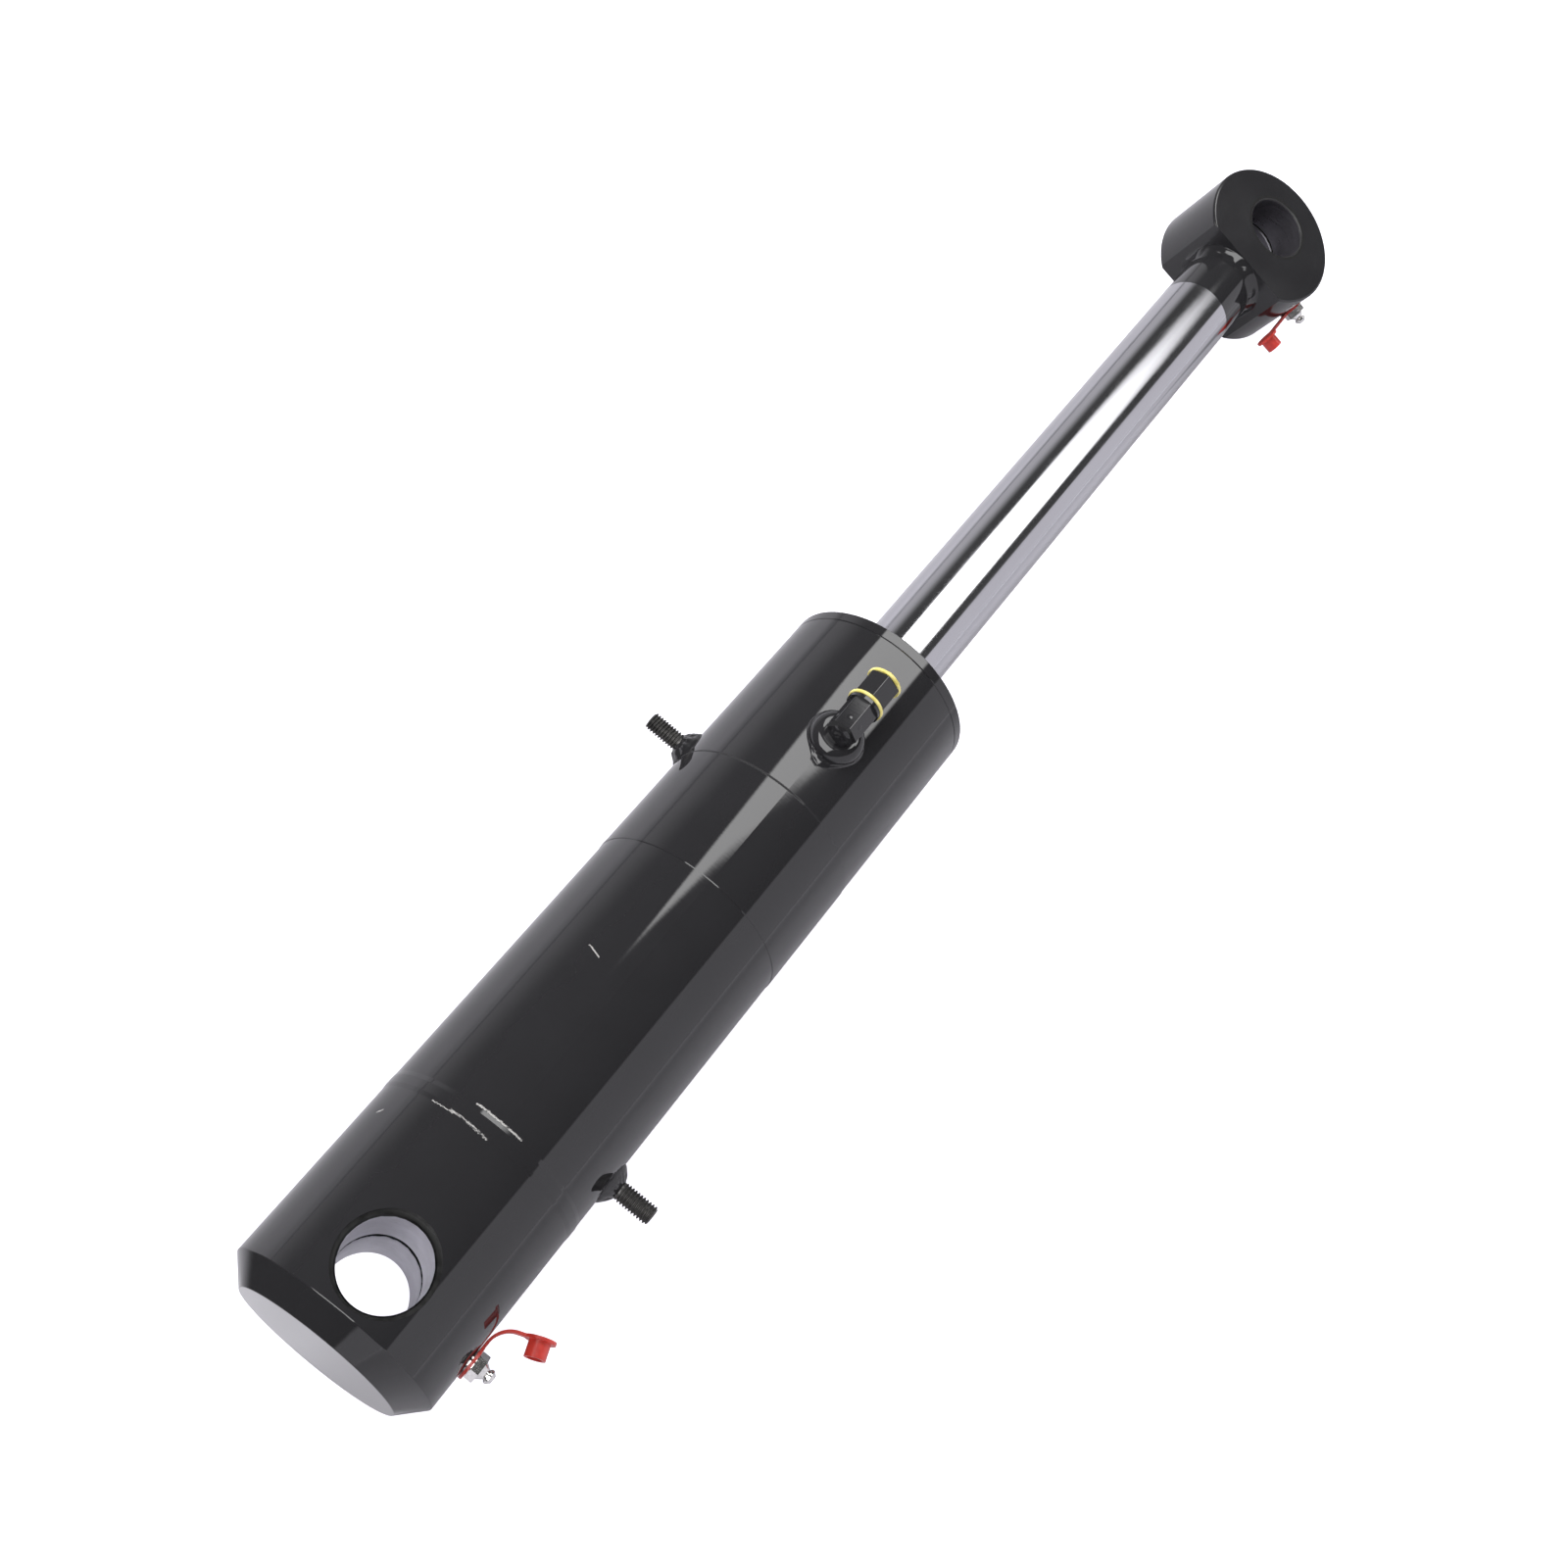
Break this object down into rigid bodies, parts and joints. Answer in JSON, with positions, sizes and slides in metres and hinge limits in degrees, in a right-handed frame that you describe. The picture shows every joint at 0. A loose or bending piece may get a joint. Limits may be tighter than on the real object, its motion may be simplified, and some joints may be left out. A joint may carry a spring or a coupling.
{
  "type": "hydraulic cylinder",
  "caption": "Welded hydraulic cylinder with a chamfered base cross-bored for a pin, one chrome rod, a welded rod eye, a side elbow port and threaded studs.",
  "frame": {"origin": "centre of the base pin bore, on the cylinder's axis", "axes": "+X along the cylinder towards the rod eye, +Z along the base pin bore towards the side with the rod-end port, +Y towards the rod-end stud"},
  "size_m": [0.8808, 0.1501, 0.1405],
  "materials": {
    "black_paint": "gloss black enamel",
    "black_steel": "black oxide",
    "machined_steel": "fine turned steel",
    "hard_chrome": "ground and polished hard chrome",
    "zinc_plate": "bright zinc plate",
    "red_plastic": "soft moulded polyethylene",
    "yellow_plastic": "moulded nylon",
    "seal_rubber": "nitrile",
    "seal_polyurethane": "polyurethane",
    "guide_plastic": "filled nylon"
  },
  "bodies": {
    "barrel": {"base_cap": "black_paint", "barrel_tube": "black_paint", "base_weld": "black_paint", "base_bush_upper": "machined_steel", "base_bush_lower": "machined_steel", "gland": "black_paint", "rod_wiper": "seal_polyurethane", "rod_seal": "seal_polyurethane", "rod_guide_ring": "guide_plastic", "gland_backup_ring": "guide_plastic", "gland_o_ring": "seal_rubber", "port_boss": "black_paint", "port_elbow": "black_paint", "port_seal_ring": "yellow_plastic", "port_nut": "black_paint", "port_plug": "yellow_plastic", "base_port_boss": "black_paint", "base_port_seal": "yellow_plastic", "base_port_plug": "black_paint", "port_boss_weld": "black_paint", "base_port_weld": "black_paint", "stud_rod_end": "black_steel", "stud_rod_end_weld": "black_paint", "stud_base_end": "black_steel", "stud_base_end_weld": "black_paint", "base_grease_fitting": "zinc_plate"},
    "piston_rings": {"piston_seal": "seal_polyurethane", "piston_guide_rear": "guide_plastic", "piston_guide_front": "guide_plastic"},
    "rod_and_eye": {"rod": "hard_chrome", "rod_shank": "black_paint", "rod_eye_weld": "black_paint", "rod_eye": "black_paint", "eye_bush_upper": "black_steel", "eye_bush_lower": "black_steel", "eye_grease_fitting": "zinc_plate", "piston": "machined_steel", "piston_o_ring": "seal_rubber", "piston_nut": "machined_steel"},
    "base_cap_tether": {"base_grease_cap": "red_plastic"},
    "eye_cap_tether": {"eye_grease_cap": "red_plastic"}
  },
  "joints": [
    {"name": "rod_slide", "type": "slide", "parent": "barrel", "child": "piston_rings", "axis": [1, 0, 0], "range_m": [-0.2032, 0]},
    {"name": "rod_swivel", "type": "hinge", "parent": "piston_rings", "child": "rod_and_eye", "pos_m": [0.5, 0, 0], "axis": [1, 0, 0], "continuous": true},
    {"name": "base_cap_swivel", "type": "hinge", "parent": "barrel", "child": "base_cap_tether", "pos_m": [0, -0.0508, 0], "axis": [0, -1, 0], "range_deg": [-50, 50]},
    {"name": "eye_cap_swivel", "type": "hinge", "parent": "rod_and_eye", "child": "eye_cap_tether", "pos_m": [0.8036, -0.04345, -0.00939], "axis": [0, -0.9774, -0.2113], "range_deg": [-50, 50]}
  ]
}
